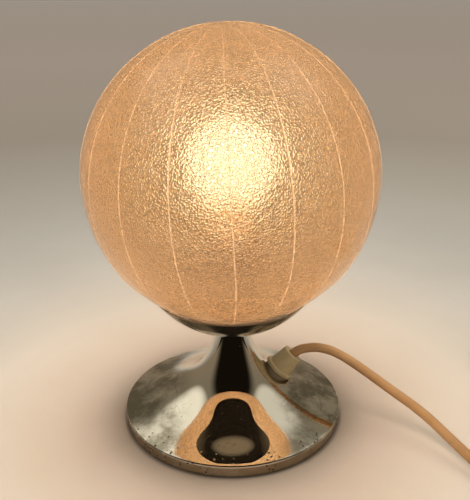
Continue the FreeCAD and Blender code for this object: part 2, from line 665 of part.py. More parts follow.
def make_switch():
    long, wide, high = SWITCH_SIZE
    split = SWITCH_SPLIT
    wall = 2.0
    room = long - 2 * SWITCH_END_WALL
    body = soft_box((0, 0, high / 2), (long, wide, high), 9.0, 2.0)
    hollow = soft_box((0, 0, high / 2), (room, wide - 2 * wall, high - 2 * wall), 5.0)
    body = body.cut(rod(LEAD_R, (-long, 0, split), (long, 0, split)))
    lower = body.common(box((0, 0, split / 2), (long + 2, wide + 2, split))).cut(hollow)
    upper = body.common(box((0, 0, (split + high) / 2), (long + 2, wide + 2, high - split))).cut(hollow)

    # Window for the rocker and the two bearings of its pins
    pin_r = 1.5
    pin_z = high - 2.6
    bearings = [box((0, y, pin_z - 1.0), (6.0, 2.0, 5.6)).common(body) for y in (-8.4, 8.4)]
    bearing_hole = rod(pin_r + FIT, (0, -9.6, pin_z), (0, 9.6, pin_z))
    upper = upper.cut(box((0, 0, high), (22.6, 12.6, 12.0))).fuse(bearings).cut(bearing_hole)

    crown_r = 40.0
    crown = 4.0
    rocker = Part.makeCylinder(crown_r, 11.6, V(0, -5.8, pin_z + crown - crown_r), V(0, 1, 0))
    rocker = rocker.common(box((0, 0, pin_z + 1.6), (21.4, 11.6, 6.4)))
    finger = box((0, -3.4, (pin_z + 3.8) / 2), (3.0, 4.0, pin_z - 3.8))
    rocker = rocker.fuse([finger, rod(pin_r, (0, -9.0, pin_z), (0, 9.0, pin_z))])
    mark_z = pin_z + 2.8
    marks = [box((7.0, 0, mark_z + 1.0), (0.9, 4.6, 2.0)),
             ring(1.4, 2.3, mark_z, mark_z + 2.0).translated(V(-7.0, 0, 0))]
    rocker = rocker.cut(marks)
    rocker.rotate(V(0, 0, pin_z), V(0, 1, 0), SWITCH_THROW / 2)

    screws = []
    for side in (-1, 1):
        x, y = side * SWITCH_POST[0], -side * SWITCH_POST[1]
        post = Part.makeCylinder(3.4, split - 1.0, V(x, y, 1.0)).common(body)
        upper_post = Part.makeCylinder(3.4, high - split - 1.0, V(x, y, split)).common(body)
        lower = lower.fuse(post).cut(Part.makeCylinder(3.3, 2.6, V(x, y, -0.1)))
        lower = lower.cut(Part.makeCylinder(1.7, split + 1, V(x, y, 0)))
        upper = upper.fuse(upper_post).cut(Part.makeCylinder(1.5, 6.5, V(x, y, split - 0.1)))
        head = Part.makeCylinder(3.1, 1.6, V(x, y, 0.9)).cut(box((x, y, 0.9), (7, 0.8, 1.2)))
        screws.append(head.fuse(Part.makeCylinder(1.45, split + 3.5, V(x, y, 2.5))))

    # Inside: two terminals with a contact leaf between them, and the cores
    terminals = [box((0, -3.4, 2.6), (19.0, 4.0, 0.6))]
    for x in (-13.5, 13.5):
        block = box((x, -3.4, 4.7), (8.0, 5.0, 5.0)).cut(rod(1.3, (x - 6, -3.4, 4.7), (x + 6, -3.4, 4.7)))
        terminals.append(block)
        terminals.append(Part.makeCylinder(1.7, 1.6, V(x, -3.4, 7.2)).cut(box((x, -3.4, 8.8), (4, 0.6, 1.0))))
    end = room / 2
    cores = [tube(route_wire([(-end, 1.7, split), (-17, 2.0, split), (-9, 5.6, 5.5), (9, 5.6, 5.5),
                              (17, 2.0, split), (end, 1.7, split)], "neutral core"), 1.2, "neutral core")]
    for x in (-1, 1):
        cores.append(tube(route_wire([(x * end, -1.7, split), (x * (end - 2.5), -2.0, 6.1),
                                      (x * 17.6, -3.4, 4.7)], "live core"), 1.2, "live core"))
    export(at_switch(lower), "switch_lower")
    export(at_switch(upper), "switch_upper")
    export(at_switch(rocker), "switch_rocker")
    export(at_switch(group(screws)), "switch_screws")
    export(at_switch(group(terminals)), "switch_terminals")
    export(at_switch(group(cores)), "switch_cores")
    print("rocker axis passes", at_switch(Part.Vertex(V(0, 0, pin_z))).Point)


# Lead, coil, ties and plug

def coil_place(angle):
    """The coil's line: in on the lower layer, up a layer in the middle half turn, and out again."""
    whole = COIL_TURNS * 2 * math.pi
    from_middle = (angle - whole / 2) / (2 * math.pi)
    inner = COIL_OUTER - COIL_PITCH * COIL_TURNS / 2
    swing = 0.25
    if abs(from_middle) < swing:
        reach = swing / 2 + from_middle ** 2 / (2 * swing)
        climb = (math.sin(math.pi * from_middle / (2 * swing)) + 1) / 2
    else:
        reach = abs(from_middle)
        climb = 0.0 if from_middle < 0 else 1.0
    r = inner + COIL_PITCH * reach
    return V(COIL_X + r * math.cos(angle), COIL_Y + r * math.sin(angle), COIL_LOW + COIL_LAYER * climb)


def coil_gap():
    """The least distance between turns of the coil, less the lead's diameter."""
    steps = 120 * COIL_TURNS
    whole = COIL_TURNS * 2 * math.pi
    points = [coil_place(whole * k / steps) for k in range(steps + 1)]
    near = 60
    least = 1e9
    for i, p in enumerate(points):
        for q in points[i + near:]:
            least = min(least, p.distanceToPoint(q))
    return least - LEAD_D


def make_lead():
    export(tube(route_wire(LAMP_SIDE, "lamp side"), LEAD_R, "lamp side"), "lead_lamp_side")
    export(tube(route_wire(COIL_SIDE, "coil side"), LEAD_R, "coil side"), "lead_coil_side")
    export(tube(route_wire(PLUG_SIDE, "plug side"), LEAD_R, "plug side"), "lead_plug_side")
    wire = curve_wire(coil_place, 0.0, COIL_TURNS * 2 * math.pi, COIL_TURNS * 4, V(0, 1, 0), LEAD_D)
    ends = [wire.OrderedVertexes[0].Point, wire.OrderedVertexes[-1].Point]
    print("coil ends", [[round(c, 2) for c in p] for p in ends])
    export(tube(wire, LEAD_R, "coil"), "lead_coil")
    print("coil least gap %.2f mm" % coil_gap())


def make_ties():
    """Two flat bands round the coil's turns, which it stands on."""
    ties = []
    band = 0.8
    low, high = 0.9, COIL_LOW + COIL_LAYER + LEAD_R + 0.1
    near, far = 21.1, 48.1
    middle = ((near + far) / 2, 0, (low + high) / 2)
    for turn in (90, 270):
        outer = soft_ring_block(middle, (far - near + 2 * band, 6.0, high - low + 2 * band), 4.3)
        hole = soft_ring_block(middle, (far - near, 8.0, high - low), 3.5)
        tie = outer.cut(hole)
        tie.rotate(V(0, 0, 0), UP, turn)
        tie.translate(V(COIL_X, COIL_Y, 0))
        ties.append(tie)
    export(group(ties), "coil_ties")


def soft_ring_block(center, size, radius):
    block = box(center, size)
    lengthwise = [e for e in block.Edges if abs(e.tangentAt(e.FirstParameter).y) > 0.9]
    return block.makeFillet(radius, lengthwise)


def make_plug():
    """A flat two-pin plug lying on its side beside the coil, its pins clear of the foot."""
    tail_long = 13.0
    tail = Part.makeCone(6.6, 4.9, tail_long, V(PLUG_X - tail_long, PLUG_Y, PLUG_Z), V(1, 0, 0))
    grooves = []
    for k in range(4):
        x = PLUG_X - 2.6 - 2.6 * k
        grooves.append(box((x, PLUG_Y + 6.0, PLUG_Z), (1.1, 5.0, 14.0)))
        grooves.append(box((x, PLUG_Y - 6.0, PLUG_Z), (1.1, 5.0, 14.0)))
    tail = tail.cut(grooves)
    back = PLUG_X - tail_long
    face = back - 34.0
    half = 17.0
    outline = [
        line((face, half, 0), (face, -half, 0)),
        line((face, -half, 0), (face + 12.0, -half, 0)),
        arc((face + 12.0, -half, 0), (face + 26.0, -half + 3.6, 0), (back, -6.2, 0)),
        line((back, -6.2, 0), (back, 6.2, 0)),
        arc((back, 6.2, 0), (face + 26.0, half - 3.6, 0), (face + 12.0, half, 0)),
        line((face + 12.0, half, 0), (face, half, 0))]
    body = Part.Face(Part.Wire(outline)).extrude(V(0, 0, 13.4))
    flat = [e for e in body.Edges if e.BoundBox.ZLength < 1e-6]
    body = body.makeFillet(2.0, flat)
    body.translate(V(0, PLUG_Y, 0.3))
    body = body.fuse(tail).removeSplitter()
    sleeves = []
    pins = []
    shank_r = 1.4
    for y in (PLUG_Y - PIN_GAP / 2, PLUG_Y + PIN_GAP / 2):
        root = (face + 12.0, y, PLUG_Z)
        shoulder = (face - 10.0, y, PLUG_Z)
        end = (face - 18.0, y, PLUG_Z)
        body = body.cut(rod(shank_r, (face - 1.0, y, PLUG_Z), root))
        sleeve = rod(1.75, (face, y, PLUG_Z), shoulder)
        sleeves.append(sleeve.cut(rod(shank_r, (face + 1.0, y, PLUG_Z), (face - 11.0, y, PLUG_Z))))
        nose = Part.makeCone(PIN_R, 1.2, 1.0, V(*end), V(-1, 0, 0))
        pins.append(rod(shank_r, root, shoulder).fuse([rod(PIN_R, shoulder, end), nose]))
    for shape, node in ((body, "plug_body"), (group(sleeves), "plug_sleeves"), (group(pins), "plug_pins")):
        shape.rotate(V(PLUG_X, PLUG_Y, 0), UP, -PLUG_TURN)
        export(shape, node)


os.makedirs("parts", exist_ok=True)
make_foot()
make_stem()
make_dish()
make_carrier()
make_globe()
make_holder()
make_bulb()
make_gland()
make_inner_leads()
make_switch()
make_lead()
make_ties()
make_plug()
print("gland seat", GLAND_SEAT, "axis", GLAND_AXIS)
print("gland mouth", GLAND_SEAT + GLAND_AXIS * GLAND_LENGTH)
print("pocket floor", GLAND_SEAT + GLAND_AXIS * (GLAND_LENGTH - POCKET))
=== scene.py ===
# %% [markdown]
# # A table lamp with a glass ball globe
#
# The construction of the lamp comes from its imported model. This lesson gives it its looks: chrome that
# has stood for years, pressed glass with a lit bulb behind it, a moulded gland and a real length of lead.
# Lengths are metres, +Z is up, the lead leaves towards +X, and the picture is taken from -Y.

# %% Load the lamp's construction
import json
import math

import bmesh
import bpy
from mathutils import Matrix, Vector

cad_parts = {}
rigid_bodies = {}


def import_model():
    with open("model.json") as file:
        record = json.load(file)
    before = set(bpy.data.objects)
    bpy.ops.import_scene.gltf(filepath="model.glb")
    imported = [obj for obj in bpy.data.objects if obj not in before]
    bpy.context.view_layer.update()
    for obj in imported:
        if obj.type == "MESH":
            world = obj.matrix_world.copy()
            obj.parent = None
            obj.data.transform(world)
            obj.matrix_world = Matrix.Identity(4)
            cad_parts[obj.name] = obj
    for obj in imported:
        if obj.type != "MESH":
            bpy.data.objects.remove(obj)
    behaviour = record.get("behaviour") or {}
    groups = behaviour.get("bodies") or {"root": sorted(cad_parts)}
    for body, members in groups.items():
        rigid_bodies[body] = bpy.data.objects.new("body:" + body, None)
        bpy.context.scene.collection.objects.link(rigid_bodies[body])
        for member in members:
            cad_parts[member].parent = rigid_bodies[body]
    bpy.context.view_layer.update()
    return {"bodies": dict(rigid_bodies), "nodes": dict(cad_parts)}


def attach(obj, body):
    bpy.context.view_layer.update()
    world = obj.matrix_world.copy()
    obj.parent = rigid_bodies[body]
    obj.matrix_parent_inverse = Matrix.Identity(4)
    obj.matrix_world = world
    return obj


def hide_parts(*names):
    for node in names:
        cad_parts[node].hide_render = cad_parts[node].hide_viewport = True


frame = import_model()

NODES = frame["nodes"]

# %% [markdown]
# ## The camera
#
# A camera is a place, a direction and a lens. The picture was taken from a little above the lamp, so
# the camera stands 0.44 m in front at 0.30 m height and looks 21 degrees down. The lens follows from
# the size of the globe in the picture. The picture is taller than it is wide, and the sensor's width
# belongs to the longer side.

# %% Camera
PICTURE_HEIGHT = 500
FOCAL_PIXELS = 660.0
SENSOR = 36.0
CAMERA_PLACE = (0.0, -0.43547, 0.29999)
PITCH_DOWN = 21.2025
YAW = 0.3142
ROLL = -0.3158


def make_camera():
    data = bpy.data.cameras.new("camera")
    data.sensor_width = SENSOR
    data.lens = FOCAL_PIXELS * SENSOR / PICTURE_HEIGHT
    data.clip_start = 0.01
    camera = bpy.data.objects.new("camera", data)
    bpy.context.scene.collection.objects.link(camera)
    turn = (
        Matrix.Rotation(math.radians(-YAW), 4, "Z")
        @ Matrix.Rotation(math.radians(90 - PITCH_DOWN), 4, "X")
        @ Matrix.Rotation(math.radians(ROLL), 4, "Z"))
    camera.matrix_world = Matrix.Translation(CAMERA_PLACE) @ turn
    bpy.context.scene.camera = camera
    return camera


camera = make_camera()
bpy.context.scene.view_settings.view_transform = "Standard"
print("camera lens", round(camera.data.lens, 2), "mm")

# %% [markdown]
# ## Shader maths as plain sums
#
# A finish that varies is mostly arithmetic: a noise times a mask, plus a constant. Wiring Math nodes one
# by one hides that, so a small class wraps the output of a node and turns +, -, * and / into Math nodes.
# A second class holds a material while it is made. Its one method adds any node, with its settings first
# and then the values or wires of its sockets.

# %% The two helper classes
class Wire:
    """The output of a node, for use in sums."""

    def __init__(self, finish, socket):
        self.finish = finish
        self.socket = socket

    def maths(self, operation, *values):
        return self.finish.node("Math", {"operation": operation}, dict(enumerate(values)))

    def __add__(self, other):
        return self.maths("ADD", self, other)

    def __sub__(self, other):
        return self.maths("SUBTRACT", self, other)

    def __rsub__(self, other):
        return self.maths("SUBTRACT", other, self)

    def __mul__(self, other):
        return self.maths("MULTIPLY", self, other)

    def __truediv__(self, other):
        return self.maths("DIVIDE", self, other)

    def power(self, exponent):
        return self.maths("POWER", self, exponent)

    def at_most(self, other):
        return self.maths("MINIMUM", self, other)

    def at_least(self, other):
        return self.maths("MAXIMUM", self, other)

    def wave(self):
        return self.maths("SINE", self)

    def rise(self, low, high):
        """0 below low, 1 above high, and a smooth step between them."""
        settings = {"interpolation_type": "SMOOTHSTEP"}
        return self.finish.node("MapRange", settings, {"Value": self, "From Min": low, "From Max": high})

    def paint(self, first, second):
        """The first colour where this is 0, the second where it is 1."""
        settings = {"data_type": "RGBA"}
        return self.finish.node("Mix", settings, {0: self, 6: first, 7: second}, output=2)


class Finish:
    """A material, or the world, while its nodes are added."""

    def __init__(self, name, owner=None):
        self.owner = owner or bpy.data.materials.new(name)
        self.owner.use_nodes = True
        self.tree = self.owner.node_tree
        self.tree.nodes.clear()

    def node(self, kind, settings=None, values=None, output=0):
        made = self.tree.nodes.new("ShaderNode" + kind)
        for name, setting in (settings or {}).items():
            if name == "stops":
                self.set_stops(made.color_ramp, setting)
            else:
                setattr(made, name, setting)
        for key, value in (values or {}).items():
            socket = made.inputs[key]
            if isinstance(value, Wire):
                self.tree.links.new(value.socket, socket)
            elif hasattr(value, "__len__") and len(value) == 3 and len(socket.default_value) == 4:
                socket.default_value = (*value, 1.0)
            else:
                socket.default_value = value
        return Wire(self, made.outputs[output])

    def set_stops(self, ramp, stops):
        while len(ramp.elements) < len(stops):
            ramp.elements.new(0.5)
        for element, (place, colour) in zip(ramp.elements, stops):
            element.position = place
            element.color = (*colour, 1.0)

    def place(self):
        """The point on the piece, in metres."""
        return self.node("TexCoord", output=3)

    def axis(self, which):
        return self.node("SeparateXYZ", None, {0: self.place()}, output="XYZ".index(which))

    def noise(self, scale, detail=2.0, rough=0.5, stretch=(1, 1, 1), shift=(0, 0, 0), warp=0.0):
        spot = self.node("Mapping", None, {"Vector": self.place(), "Location": shift, "Scale": stretch})
        values = {"Vector": spot, "Scale": scale, "Detail": detail, "Roughness": rough, "Distortion": warp}
        return self.node("TexNoise", None, values)

    def specks(self, scale, size, shift=(0, 0, 0)):
        """1 in small round spots, of size as a share of their spacing."""
        spot = self.node("Mapping", None, {"Vector": self.place(), "Location": shift})
        away = self.node("TexVoronoi", None, {"Vector": spot, "Scale": scale, "Randomness": 1.0})
        return 1 - away.rise(size * 0.6, size)

    def bump(self, height, depth, under=None):
        """A normal from a height of 0 to 1 that is depth metres deep."""
        values = {"Height": height, "Distance": depth, "Strength": 1.0}
        if under:
            values["Normal"] = under
        return self.node("Bump", None, values)

    def principled(self, **values):
        named = {key.replace("_", " "): value for key, value in values.items()}
        return self.node("BsdfPrincipled", None, named)

    def finish(self, shader):
        out = self.tree.nodes.new("ShaderNodeOutputMaterial")
        self.tree.links.new(shader.socket, out.inputs["Surface"])
        return self.owner


print("helpers ready")

# %% [markdown]
# ## Floor, world and studio light
#
# The lamp stands on one pale cloth that runs far back. Its tone goes from cream near the lamp to warm grey
# further off, and the tone depends only on the distance from the lamp, so the lamp can be seen from any
# side. Close to the foot the tone is darker as painted shade, with a thin dark ring at the rim that is a
# painted contact shadow, and the darker band about a metre off is painted shade too. A ramp over the
# logarithm of that distance holds the near tones close together and lets the far ones spread.
#
# The world does three jobs. It gives diffuse surfaces one even light. It shows the camera, and what is seen
# through the glass, a warm grey near that of the far floor. Mirrored rays see a room of their own: grey,
# with two soft bright patches and a dark front. The cloth fades into that dark front too, but only in what
# the chrome mirrors.

# %% Colours on a picture's 0 to 255 scale
def tone(red, green, blue):
    """A colour on a picture's 0 to 255 scale, as the linear numbers that shaders use."""
    parts = [value / 255 for value in (red, green, blue)]
    return tuple(p / 12.92 if p < 0.04 else ((p + 0.055) / 1.055) ** 2.4 for p in parts)


FAR_TONE = tone(194, 183, 170)
SKY_TONE = tone(155, 144, 130)
print("far tone", [round(c, 3) for c in FAR_TONE])

# %% Floor
FLOOR_REACH = 40.0
ROOM_DARK = tone(19, 14, 8)
# What the chrome mirrors of the cloth is shaded a little, and fades out between these places in front.
MIRRORED_SHADE = 0.22
FRONT_FADE = (0.22, 0.43)
# The stops up to 0.15 m are darker as painted shade near the foot, the first a painted contact shadow at the
# rim; the dip around 1.1 m is painted shade too.
FLOOR_TONES_AND_PAINTED_SHADE = [
    (0.0812, tone(112, 97, 80)), (0.0835, tone(156, 139, 120)), (0.105, tone(183, 164, 144)),
    (0.15, tone(194, 178, 157)), (0.20, tone(203, 191, 173)), (0.31, tone(194, 187, 174)),
    (0.46, tone(184, 179, 168)), (0.68, tone(176, 169, 156)), (1.1, tone(166, 155, 141)),
    (3.0, tone(192, 178, 163)), (FLOOR_REACH, FAR_TONE)]


def floor_cloth():
    finish = Finish("floor_cloth")
    flat = finish.node("VectorMath", {"operation": "MULTIPLY"}, {0: finish.place(), 1: (1, 1, 0)})
    away = finish.node("VectorMath", {"operation": "LENGTH"}, {0: flat}, output="Value")
    low = math.log(FLOOR_TONES_AND_PAINTED_SHADE[0][0])
    span = math.log(FLOOR_REACH) - low
    reach = away.at_least(0.01)
    place = (reach.maths("LOGARITHM", reach, math.e) - low) / span
    stops = [((math.log(r) - low) / span, colour) for r, colour in FLOOR_TONES_AND_PAINTED_SHADE]
    # This colour carries the painted shade near the foot, the painted contact shadow at the rim and the
    # painted shade of the distant band.
    base = finish.node("ValToRGB", {"stops": stops}, {"Fac": place})
    mottle = finish.noise(9, detail=4).rise(0.35, 0.65) * (1 - away.rise(0.3, 0.8))
    cloth = (mottle * 0.05).paint(base, tone(255, 246, 230))
    glossy = finish.node("LightPath", output="Is Glossy Ray")
    ends = (0 - finish.axis("Y")).rise(*FRONT_FADE) * glossy
    colour = ends.at_least(glossy * MIRRORED_SHADE).paint(cloth, ROOM_DARK)
    weave = finish.noise(900, detail=2)
    return finish.finish(finish.principled(
        Base_Color=colour, Roughness=0.9, Specular_IOR_Level=0.15, Normal=finish.bump(weave, 0.0002)))


def make_floor():
    shape = bmesh.new()
    bmesh.ops.create_circle(shape, cap_ends=True, segments=96, radius=FLOOR_REACH)
    mesh = bpy.data.meshes.new("floor")
    shape.to_mesh(mesh)
    shape.free()
    mesh.materials.append(floor_cloth())
    floor = bpy.data.objects.new("floor", mesh)
    bpy.context.scene.collection.objects.link(floor)


make_floor()
print("floor reaches", FLOOR_REACH, "m")

# %% World
# Each glow has a direction, the angle at which it has faded out, and a colour. The front has two headings
# from straight ahead: where it starts to darken, and where it is dark.
ROOM_GLOWS = [((-0.53, 0.33, 0.78), 22, (0.94, 0.88, 0.72)), ((0.57, 0.21, 0.80), 21, (0.64, 0.60, 0.50))]
GLOW_CORE = 0.4
FRONT_ARC = (84, 54)
DAYLIGHT = (1.0, 0.97, 0.93)
DAYLIGHT_STRENGTH = 0.62


def cosine(degrees):
    return math.cos(math.radians(degrees))


def make_world():
    world = bpy.data.worlds.new("studio")
    bpy.context.scene.world = world
    finish = Finish("studio", world)
    camera_ray = finish.node("LightPath")
    glossy = finish.node("LightPath", output="Is Glossy Ray")
    clear = finish.node("LightPath", output="Is Transmission Ray")
    sky = finish.axis("Z").rise(0.0, 0.9).paint(SKY_TONE, tone(142, 131, 117))
    room = finish.axis("Z").rise(-0.1, 0.7).paint(tone(132, 117, 97), tone(122, 114, 96))
    for aim, spread, glow in ROOM_GLOWS:
        towards = finish.node(
            "VectorMath", {"operation": "DOT_PRODUCT"}, {0: finish.place(), 1: aim}, output=1)
        room = towards.rise(cosine(spread), cosine(spread * GLOW_CORE)).paint(room, glow)
    flat = finish.node("VectorMath", {"operation": "MULTIPLY"}, {0: finish.place(), 1: (1, 1, 0)})
    heading = finish.node("SeparateXYZ", None, {0: finish.node(
        "VectorMath", {"operation": "NORMALIZE"}, {0: flat})}, output=1)
    front = (0 - heading).rise(*(cosine(angle) for angle in FRONT_ARC))
    room = front.paint(room, ROOM_DARK)
    backdrop = finish.node("Background", None, {"Color": glossy.paint(sky, room)})
    light = finish.node("Background", None, {"Color": DAYLIGHT, "Strength": DAYLIGHT_STRENGTH})
    seen = camera_ray.at_least(glossy).at_least(clear)
    mixed = finish.node("MixShader", None, {0: seen, 1: light, 2: backdrop})
    out = finish.tree.nodes.new("ShaderNodeOutputWorld")
    finish.tree.links.new(mixed.socket, out.inputs["Surface"])


make_world()
print("world with", len(ROOM_GLOWS), "soft glows")

# %% Studio lights
def soft_light(name, place, aim, size, power, colour):
    data = bpy.data.lights.new(name, "AREA")
    data.shape = "DISK"
    data.size = size
    data.energy = power
    data.color = colour
    light = bpy.data.objects.new(name, data)
    light.location = place
    light.rotation_euler = (Vector(aim) - Vector(place)).to_track_quat("-Z", "Y").to_euler()
    light.visible_glossy = False
    bpy.context.scene.collection.objects.link(light)


LIGHT_AIM = (0, 0, 0.1)
soft_light("window", (-1.1, -0.5, 1.5), LIGHT_AIM, 1.0, 6.5, DAYLIGHT)
soft_light("room", (1.0, 0.4, 1.7), LIGHT_AIM, 1.4, 10.0, (1.0, 0.95, 0.88))
print("two soft lights")

# %% [markdown]
# ## The lead
#
# A mains lead is a fixed length of something springy. One smooth NURBS curve is its centre line, and the
# curve's own round bevel is its sheath. This lead leaves the gland, drops to the floor and runs out of
# the picture to the switch. The other curve is the rest of it: from the switch into a storage coil in two
# layers, and from the coil to the plug.

# %% Route of the lead
LEAD_R = 0.0035
LAMP_SIDE = [
    (0.04367, 0.00382, 0.04190), (0.04727, 0.00413, 0.04604), (0.0540, 0.0038, 0.0494),
    (0.0657, 0.0025, 0.0511), (0.0788, -0.0008, 0.0481), (0.0960, -0.0084, 0.0392),
    (0.1153, -0.0208, 0.0287), (0.1360, -0.0384, 0.0203), (0.1516, -0.0615, 0.0122),
    (0.1645, -0.0841, 0.0072), (0.1780, -0.1014, 0.0046), (0.1958, -0.1143, 0.0038),
    (0.2154, -0.1196, 0.0044), (0.23625, -0.11685, 0.0065), (0.2540, -0.1066, 0.0065)]
COIL_SIDE = [
    (0.293837, -0.0836, 0.0065), (0.3077, -0.0756, 0.0065), (0.3184, -0.0622, 0.0054),
    (0.3240, -0.0445, 0.0045), (0.3240, -0.0230, 0.0045)]
PLUG_SIDE = [
    (0.3240, -0.0090, 0.0122), (0.3240, 0.0060, 0.0122), (0.3222, 0.0209, 0.0114),
    (0.3147, 0.0350, 0.0100), (0.3032, 0.0447, 0.0084), (0.289923, 0.049977, 0.0070),
    (0.2764, 0.0536, 0.0070)]
COIL_MIDDLE = (0.278, -0.016)
COIL_OUTER = 0.046
COIL_PITCH = 0.0076
COIL_TURNS = 6
COIL_LOW = 0.0045
COIL_LAYER = 0.0077
POINTS_A_TURN = 32


def coil_place(turns):
    """A point of the coil: three turns inward on the floor, then three outward on top of them."""
    from_middle = turns - COIL_TURNS / 2
    inner = COIL_OUTER - COIL_PITCH * COIL_TURNS / 2
    swing = 0.25
    if abs(from_middle) < swing:
        reach = swing / 2 + from_middle ** 2 / (2 * swing)
        climb = (math.sin(math.pi * from_middle / (2 * swing)) + 1) / 2
    else:
        reach = abs(from_middle)
        climb = 0.0 if from_middle < 0 else 1.0
    r = inner + COIL_PITCH * reach
    angle = 2 * math.pi * turns
    x, y = COIL_MIDDLE
    return (x + r * math.cos(angle), y + r * math.sin(angle), COIL_LOW + COIL_LAYER * climb)


COIL = [coil_place(step / POINTS_A_TURN) for step in range(COIL_TURNS * POINTS_A_TURN + 1)]
print("coil points", len(COIL))

# %% The two curves
def make_lead(name, points):
    curve = bpy.data.curves.new(name, "CURVE")
    curve.dimensions = "3D"
    # The radius sits on the points, because the box of a curve is measured with the radius of its points.
    curve.bevel_depth = 1.0
    curve.bevel_resolution = 6
    curve.resolution_u = 8
    curve.use_fill_caps = True
    spline = curve.splines.new("NURBS")
    spline.points.add(len(points) - 1)
    for point, place in zip(spline.points, points):
        point.co = (*place, 1.0)
        point.radius = LEAD_R
    spline.order_u = 3
    spline.use_endpoint_u = True
    lead = bpy.data.objects.new(name, curve)
    bpy.context.scene.collection.objects.link(lead)
    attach(lead, "lamp_base")
    return lead


lead_to_switch = make_lead("lead_to_switch", LAMP_SIDE)
lead_to_plug = make_lead("lead_to_plug", COIL_SIDE + COIL + PLUG_SIDE)
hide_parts("lead_lamp_side")
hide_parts("lead_coil_side", "lead_coil", "lead_plug_side")
print("lead curves", len(LAMP_SIDE), len(COIL_SIDE + COIL + PLUG_SIDE), "points")

# %% [markdown]
# ## Turned pieces
#
# The foot and the dish were spun from sheet metal on a lathe, so each is one outline turned round the Z
# axis. Chrome shows every facet of a mesh as a kink in what it reflects, so these two are turned again
# here, much finer than the construction model, from the same measurements. A small helper spins an
# outline and marks its real corners sharp.

# %% Turning helper
def turned(name, outline, body, steps=256):
    """Spin a closed outline of (radius, height) points round the Z axis."""
    shape = bmesh.new()
    points = [shape.verts.new((r, 0, z)) for r, z in outline]
    edges = [shape.edges.new(pair) for pair in zip(points, points[1:] + points[:1])]
    bmesh.ops.spin(
        shape, geom=points + edges, cent=(0, 0, 0), axis=(0, 0, 1), angle=2 * math.pi, steps=steps,
        use_merge=True)
    bmesh.ops.recalc_face_normals(shape, faces=shape.faces)
    for face in shape.faces:
        face.smooth = True
    mesh = bpy.data.meshes.new(name)
    shape.to_mesh(mesh)
    shape.free()
    mesh.set_sharp_from_angle(angle=math.radians(35))
    piece = bpy.data.objects.new(name, mesh)
    bpy.context.scene.collection.objects.link(piece)
    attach(piece, body)
    return piece


def arc_points(middle, radius, first, last, count):
    """Points of an arc in the outline's plane, angles in degrees from the outward direction."""
    r, z = middle
    turns = [math.radians(first + (last - first) * k / count) for k in range(count + 1)]
    return [(r + radius * math.cos(turn), z + radius * math.sin(turn)) for turn in turns]


print("turning helper ready")

# %% [markdown]
# ## The trumpet foot
#
# The outline of the foot is one smooth curve led by six poles, as a draughtsman's spline is. Its slope stays
# near 18 degrees over the outer part and then steepens to the waist. The slope decides what the chrome
# reflects, so the poles were fitted to the outlines of the globe and the dish as the foot mirrors them in
# the picture. The rim turns down with a small round corner and ends just above the felt.

# %% Foot
FOOT_R = 0.0813
SKIRT_END = 0.0008
SKIRT_EDGE = 0.0003
TRUMPET_POLES = [
    (0.0813, 0.0091), (0.0549, 0.0178), (0.0511, 0.0159), (0.0328, 0.0366), (0.0246, 0.0224),
    (0.0112, 0.0719)]
FOOT_WALL = 0.0012
CORNER = 0.0012
STEM_HOLE = 0.00505
DISH_R = 0.0695
DISH_Z = 0.1404
DISH_RIM_R = 0.0568
DISH_SEAT_R = 0.0116
DISH_WALL = 0.001
FOOT_TOP = DISH_Z - math.sqrt(DISH_R ** 2 - DISH_SEAT_R ** 2)


def trumpet_point(share, inward=0.0):
    """A point of the outline, from the rim at share 0 to the waist at 1, by halving the poles' lines."""
    points = TRUMPET_POLES
    while len(points) > 2:
        points = [
            (a[0] + (b[0] - a[0]) * share, a[1] + (b[1] - a[1]) * share) for a, b in zip(points, points[1:])]
    (low_r, low_z), (high_r, high_z) = points
    size = math.hypot(high_r - low_r, high_z - low_z)
    r = low_r + (high_r - low_r) * share - inward * (high_z - low_z) / size
    z = low_z + (high_z - low_z) * share + inward * (high_r - low_r) / size
    return (r, z)


def share_where(test):
    """The first share of the outline at which the test holds, found by halving."""
    low, high = 0.0, 1.0
    for _ in range(40):
        middle = (low + high) / 2
        if test(middle):
            high = middle
        else:
            low = middle
    return high


def foot_outline():
    first = share_where(lambda share: trumpet_point(share, CORNER)[0] < FOOT_R - CORNER)
    last = share_where(lambda share: trumpet_point(share)[1] > FOOT_TOP)
    count = 90
    shares = [first + (last - first) * k / count for k in range(count + 1)]
    skin = [trumpet_point(share) for share in shares]
    middle = trumpet_point(first, CORNER)
    end = math.degrees(math.atan2(skin[0][1] - middle[1], skin[0][0] - middle[0]))
    corner = arc_points(middle, CORNER, 0, end, 6)[:-1]
    inner = [trumpet_point(share, FOOT_WALL) for share in shares[::-4]]
    inner = [(r, z) for r, z in inner if r < FOOT_R - FOOT_WALL - CORNER and z < FOOT_TOP - FOOT_WALL]
    return (
        [(FOOT_R - SKIRT_EDGE, SKIRT_END), (FOOT_R, SKIRT_END + SKIRT_EDGE)] + corner + skin
        + [(STEM_HOLE, FOOT_TOP), (STEM_HOLE, FOOT_TOP - FOOT_WALL)] + inner
        + [(FOOT_R - FOOT_WALL, inner[-1][1] - 0.0006), (FOOT_R - FOOT_WALL, SKIRT_END)])


foot = turned("foot_trumpet", foot_outline(), "lamp_base", steps=320)
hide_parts("foot_shell")
print("foot faces", len(foot.data.polygons))

# %% [markdown]
# ## The dish
#
# The dish is a bowl cut from a sphere, one millimetre thick, with a flat seat on top of the trumpet and
# a rounded rim.

